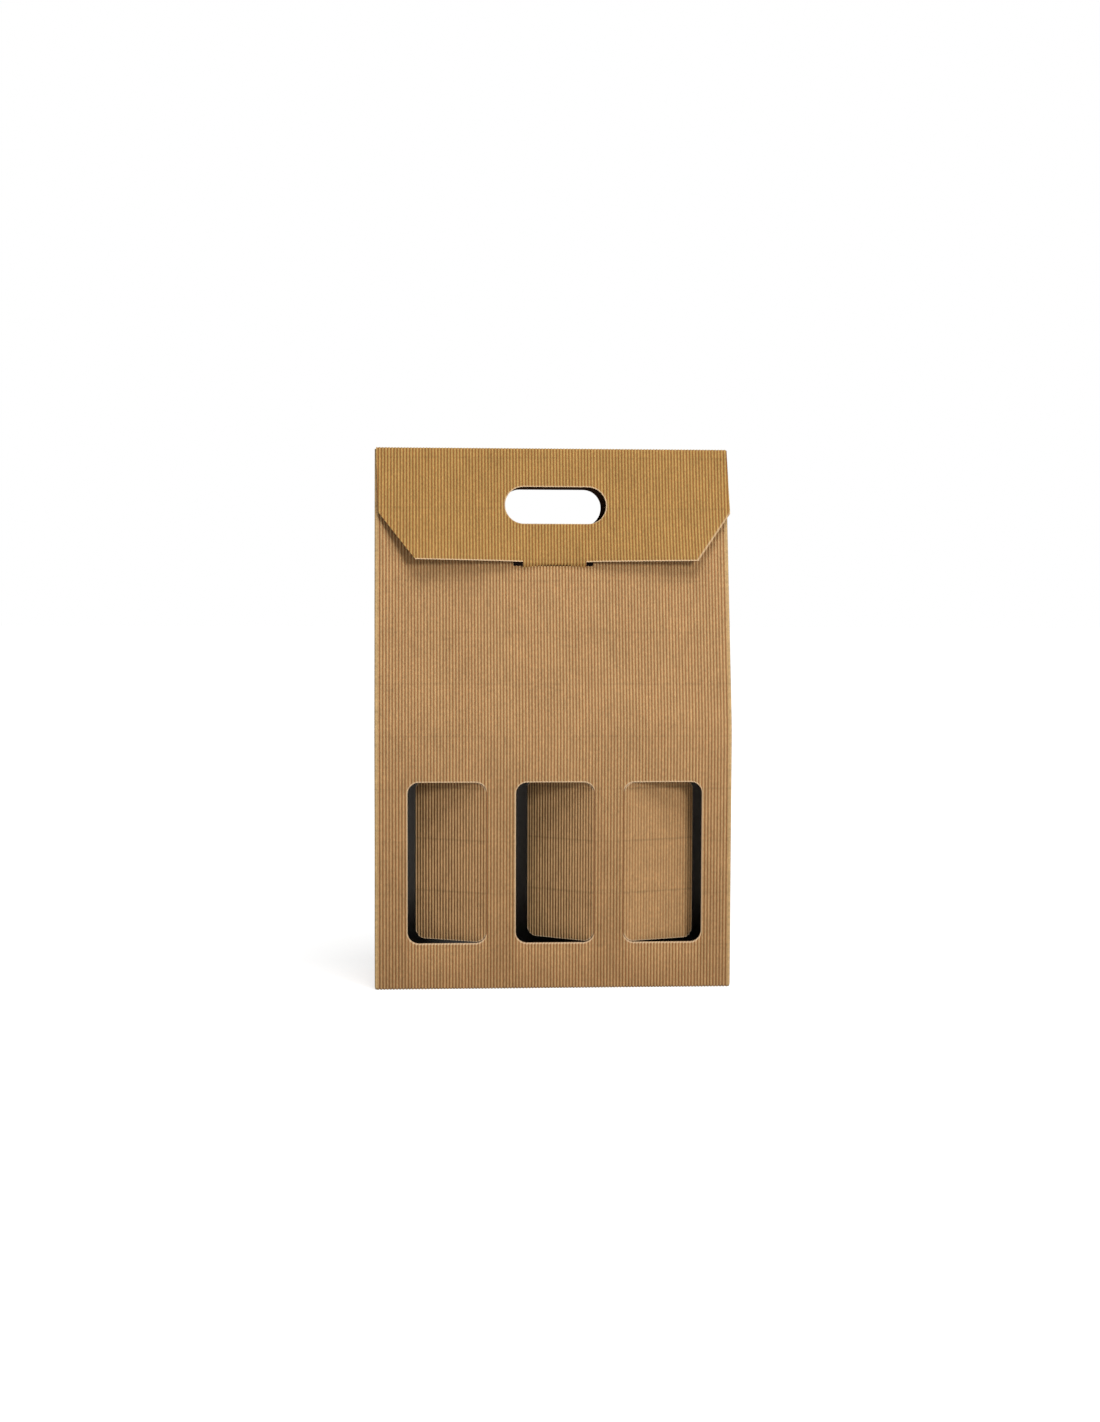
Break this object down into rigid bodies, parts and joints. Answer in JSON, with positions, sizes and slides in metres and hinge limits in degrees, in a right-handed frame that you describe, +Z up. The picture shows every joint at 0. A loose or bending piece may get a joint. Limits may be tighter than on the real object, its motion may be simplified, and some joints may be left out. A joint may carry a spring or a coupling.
{
  "type": "bottle carrier box",
  "caption": "Gable-topped carrier box for three bottles in fluted kraft board, with windows, push-in flaps and a tuck-in handle lid.",
  "frame": {"origin": "under the middle of the base, on the surface that the box stands on", "axes": "+Z up, -Y out of the front with the windows, +X to the right seen from the front"},
  "size_m": [0.2564, 0.085, 0.387],
  "materials": {
    "kraft_board": "matt brown kraft paper with open flutes"
  },
  "bodies": {
    "body": {"body": "kraft_board"},
    "lid": {"lid": "kraft_board"},
    "window_flap_left": {"window_flap_left": "kraft_board"},
    "window_flap_middle": {"window_flap_middle": "kraft_board"},
    "window_flap_right": {"window_flap_right": "kraft_board"}
  },
  "joints": [
    {"name": "lid_hinge", "type": "hinge", "parent": "body", "child": "lid", "pos_m": [0, 0.00205, 0.38635], "axis": [-1, 0, 0], "range_deg": [0, 180]},
    {"name": "left_flap_hinge", "type": "hinge", "parent": "body", "child": "window_flap_left", "pos_m": [-0.0479, -0.0412, 0.0907], "axis": [0, 0, -1], "range_deg": [-25, 65]},
    {"name": "middle_flap_hinge", "type": "hinge", "parent": "body", "child": "window_flap_middle", "pos_m": [0.0291, -0.0412, 0.0907], "axis": [0, 0, -1], "range_deg": [-34, 56]},
    {"name": "right_flap_hinge", "type": "hinge", "parent": "body", "child": "window_flap_right", "pos_m": [0.0499, -0.0412, 0.0907], "axis": [0, 0, 1], "range_deg": [-19, 71]}
  ]
}
